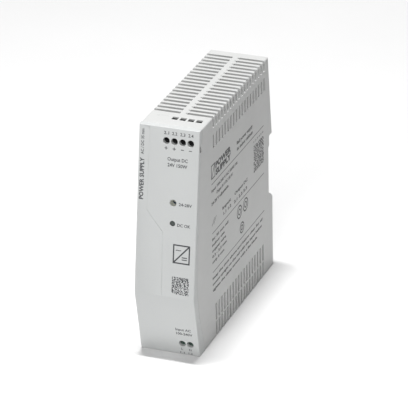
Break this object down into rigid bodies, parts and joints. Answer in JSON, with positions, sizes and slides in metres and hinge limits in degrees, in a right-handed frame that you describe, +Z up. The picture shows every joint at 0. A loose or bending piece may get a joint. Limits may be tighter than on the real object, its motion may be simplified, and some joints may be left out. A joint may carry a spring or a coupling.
{
  "type": "rail power supply",
  "caption": "Slim upright power supply for a 35 mm top-hat rail: vented two-part housing, kneed front cover, front-facing clamp screws, voltage trimmer, status lamp and sprung rail foot.",
  "frame": {"origin": "middle of the base of the overall box", "axes": "+Z up, the front faces -Y, the rail is behind at +Y, +X is to the right seen from the front"},
  "size_m": [0.034, 0.125, 0.13],
  "materials": {
    "housing_plastic": "fine moulded grain",
    "cover_plastic": "fine moulded grain",
    "foot_plastic": "moulded",
    "terminal_plastic": "moulded",
    "screw_steel": "zinc plated",
    "clamp_steel": "zinc plated",
    "busbar_metal": "tinned",
    "board_laminate": "solder mask",
    "film_plastic": "clear film",
    "trimmer_plastic": "moulded",
    "rotor_plastic": "moulded",
    "lens_plastic": "polished",
    "led_epoxy": "diffused epoxy",
    "pin_metal": "gold flash",
    "fuse_ceramic": "glazed tube",
    "clip_metal": "tinned",
    "disc_coating": "dipped resin",
    "thermistor_coating": "dipped resin",
    "film_cap_plastic": "moulded",
    "ferrite": "sintered",
    "choke_coating": "coated powder core",
    "copper_wire": "enamelled",
    "black_epoxy": "moulded",
    "can_sleeve": "shrink sleeve",
    "sink_aluminium": "extruded",
    "bobbin_plastic": "moulded",
    "winding_tape": "wrapped tape"
  },
  "bodies": {
    "housing": {"board_screws": "screw_steel", "bridge_rectifier": "black_epoxy", "bulk_capacitor_lower": "can_sleeve", "bulk_capacitor_upper": "can_sleeve", "control_board": "board_laminate", "control_chips": "black_epoxy", "filter_choke_core": "ferrite", "filter_choke_winding": "copper_wire", "foot_spring": "clamp_steel", "front_circuit_board": "board_laminate", "front_cover": "cover_plastic", "fuse": "fuse_ceramic", "fuse_clips": "clip_metal", "header_pins": "pin_metal", "input_busbar_line": "busbar_metal", "input_busbar_neutral": "busbar_metal", "input_terminal_body": "terminal_plastic", "inrush_thermistor": "thermistor_coating", "insulating_sheet": "film_plastic", "left_housing_shell": "housing_plastic", "light_guide": "lens_plastic", "line_filter_capacitor": "film_cap_plastic", "main_circuit_board": "board_laminate", "optocoupler_1": "black_epoxy", "optocoupler_2": "black_epoxy", "output_busbar_minus": "busbar_metal", "output_busbar_plus": "busbar_metal", "output_capacitor_1": "can_sleeve", "output_capacitor_2": "can_sleeve", "output_capacitor_3": "can_sleeve", "output_choke_core": "choke_coating", "output_choke_winding": "copper_wire", "output_terminal_body": "terminal_plastic", "primary_heat_sink": "sink_aluminium", "rectifier_transistors": "black_epoxy", "right_housing_shell": "housing_plastic", "safety_capacitor": "disc_coating", "secondary_heat_sink": "sink_aluminium", "status_led": "led_epoxy", "switching_transistors": "black_epoxy", "transformer_bobbin": "bobbin_plastic", "transformer_core": "ferrite", "transformer_winding": "winding_tape", "transistor_screws": "screw_steel", "trimmer_body": "trimmer_plastic", "varistor": "disc_coating"},
    "output_screw_1": {"output_screw_1": "screw_steel"},
    "output_screw_2": {"output_screw_2": "screw_steel"},
    "output_screw_3": {"output_screw_3": "screw_steel"},
    "output_screw_4": {"output_screw_4": "screw_steel"},
    "input_screw_1": {"input_screw_1": "screw_steel"},
    "input_screw_2": {"input_screw_2": "screw_steel"},
    "output_clamp_1": {"output_clamp_1": "clamp_steel"},
    "output_clamp_2": {"output_clamp_2": "clamp_steel"},
    "output_clamp_3": {"output_clamp_3": "clamp_steel"},
    "output_clamp_4": {"output_clamp_4": "clamp_steel"},
    "input_clamp_1": {"input_clamp_1": "clamp_steel"},
    "input_clamp_2": {"input_clamp_2": "clamp_steel"},
    "trimmer_rotor": {"trimmer_rotor": "rotor_plastic"},
    "rail_foot": {"rail_foot": "foot_plastic"}
  },
  "joints": [
    {"name": "output_screw_1_turn", "type": "hinge", "parent": "housing", "child": "output_screw_1", "pos_m": [-0.00155, -0.0429, 0.1227], "axis": [0, 1, 0], "range_deg": [0, 1440]},
    {"name": "output_clamp_1_rise", "type": "slide", "parent": "housing", "child": "output_clamp_1", "axis": [0, -1, 0], "range_m": [0, 0.0018]},
    {"name": "output_screw_2_turn", "type": "hinge", "parent": "housing", "child": "output_screw_2", "pos_m": [0.003, -0.0429, 0.1227], "axis": [0, 1, 0], "range_deg": [0, 1440]},
    {"name": "output_clamp_2_rise", "type": "slide", "parent": "housing", "child": "output_clamp_2", "axis": [0, -1, 0], "range_m": [0, 0.0018]},
    {"name": "output_screw_3_turn", "type": "hinge", "parent": "housing", "child": "output_screw_3", "pos_m": [0.00755, -0.0429, 0.1227], "axis": [0, 1, 0], "range_deg": [0, 1440]},
    {"name": "output_clamp_3_rise", "type": "slide", "parent": "housing", "child": "output_clamp_3", "axis": [0, -1, 0], "range_m": [0, 0.0018]},
    {"name": "output_screw_4_turn", "type": "hinge", "parent": "housing", "child": "output_screw_4", "pos_m": [0.0121, -0.0429, 0.1227], "axis": [0, 1, 0], "range_deg": [0, 1440]},
    {"name": "output_clamp_4_rise", "type": "slide", "parent": "housing", "child": "output_clamp_4", "axis": [0, -1, 0], "range_m": [0, 0.0018]},
    {"name": "input_screw_1_turn", "type": "hinge", "parent": "housing", "child": "input_screw_1", "pos_m": [0.00755, -0.049, 0.0072], "axis": [0, 1, 0], "range_deg": [0, 1440]},
    {"name": "input_clamp_1_rise", "type": "slide", "parent": "housing", "child": "input_clamp_1", "axis": [0, -1, 0], "range_m": [0, 0.0018]},
    {"name": "input_screw_2_turn", "type": "hinge", "parent": "housing", "child": "input_screw_2", "pos_m": [0.0121, -0.049, 0.0072], "axis": [0, 1, 0], "range_deg": [0, 1440]},
    {"name": "input_clamp_2_rise", "type": "slide", "parent": "housing", "child": "input_clamp_2", "axis": [0, -1, 0], "range_m": [0, 0.0018]},
    {"name": "trimmer_turn", "type": "hinge", "parent": "housing", "child": "trimmer_rotor", "pos_m": [0.0034, -0.0492, 0.0894], "axis": [0, 1, 0], "range_deg": [-135, 135]},
    {"name": "rail_foot_release", "type": "slide", "parent": "housing", "child": "rail_foot", "axis": [0, 0, -1], "range_m": [0, 0.005], "stiffness_N_per_m": 1500, "springref_m": -0.003, "deforming": ["foot_spring"]}
  ],
  "couplings": [
    {"joint": "output_screw_1_turn", "follows": "output_clamp_1_rise", "rad_per_m": 13963},
    {"joint": "output_screw_2_turn", "follows": "output_clamp_2_rise", "rad_per_m": 13963},
    {"joint": "output_screw_3_turn", "follows": "output_clamp_3_rise", "rad_per_m": 13963},
    {"joint": "output_screw_4_turn", "follows": "output_clamp_4_rise", "rad_per_m": 13963},
    {"joint": "input_screw_1_turn", "follows": "input_clamp_1_rise", "rad_per_m": 13963},
    {"joint": "input_screw_2_turn", "follows": "input_clamp_2_rise", "rad_per_m": 13963}
  ]
}
